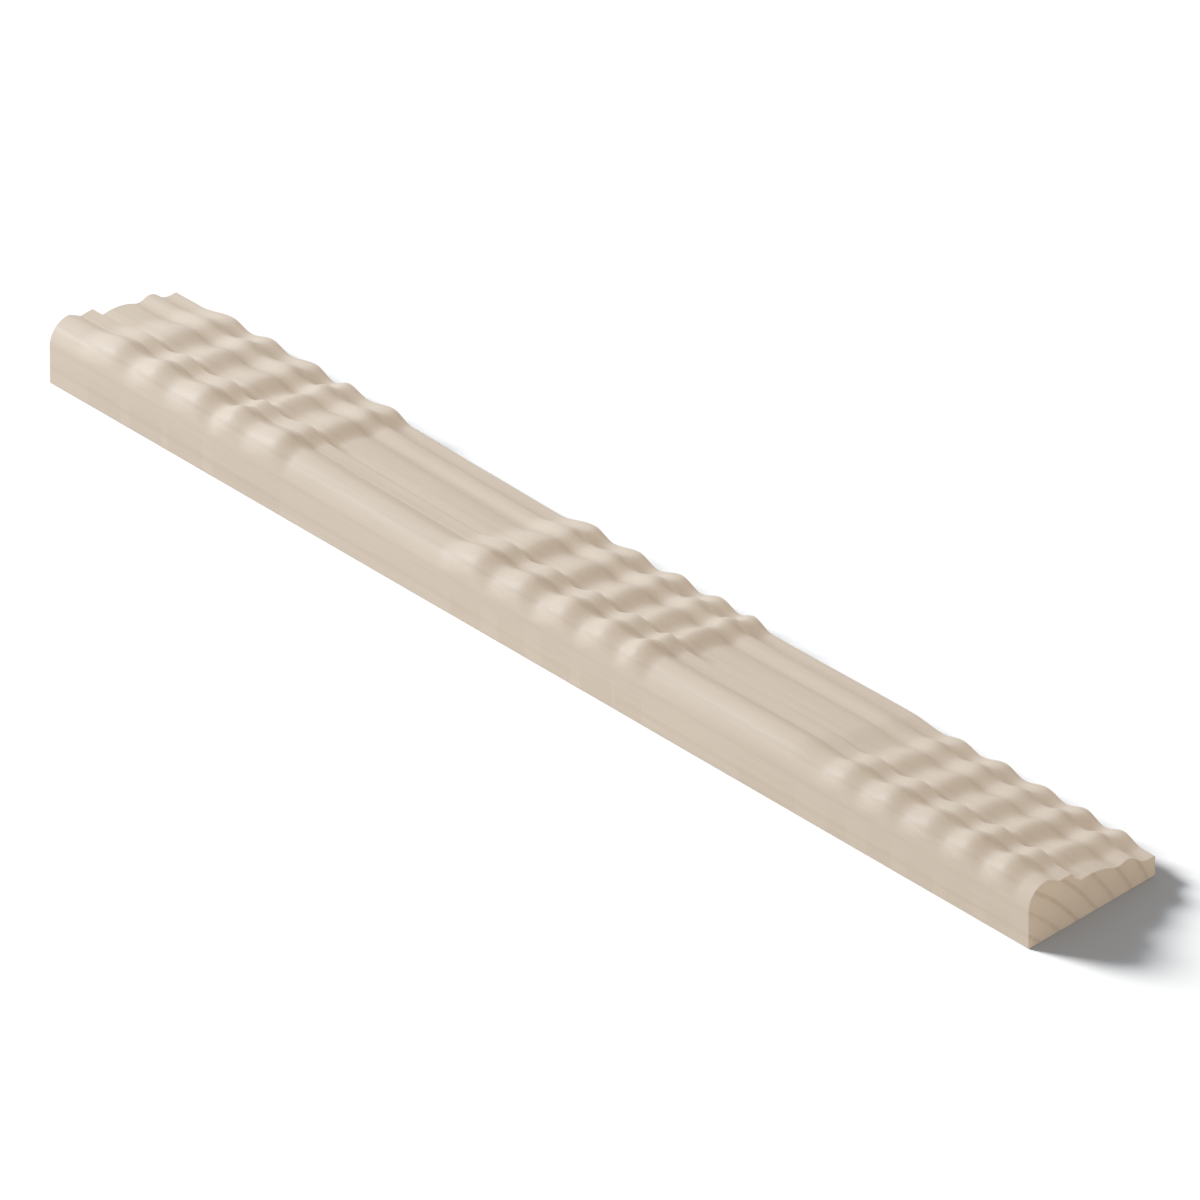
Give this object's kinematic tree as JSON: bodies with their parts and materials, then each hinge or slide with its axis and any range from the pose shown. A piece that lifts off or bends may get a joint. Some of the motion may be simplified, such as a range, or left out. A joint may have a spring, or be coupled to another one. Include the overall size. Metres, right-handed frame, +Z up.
{
  "type": "ripple moulding",
  "caption": "Length of pale wood trim with a beaded, stepped face that ripples in groups of crests along a flat back, for edging frames, panels and furniture.",
  "frame": {"origin": "middle of the flat back, on the floor", "axes": "+X along the stock, +Y from the tall edge to the thin edge, +Z up through the rippled face"},
  "size_m": [0.3048, 0.0394, 0.018],
  "materials": {
    "pale_wood": "bare, matte, fine-grained"
  },
  "bodies": {
    "root": {"ripple_moulding": "pale_wood"}
  },
  "joints": []
}
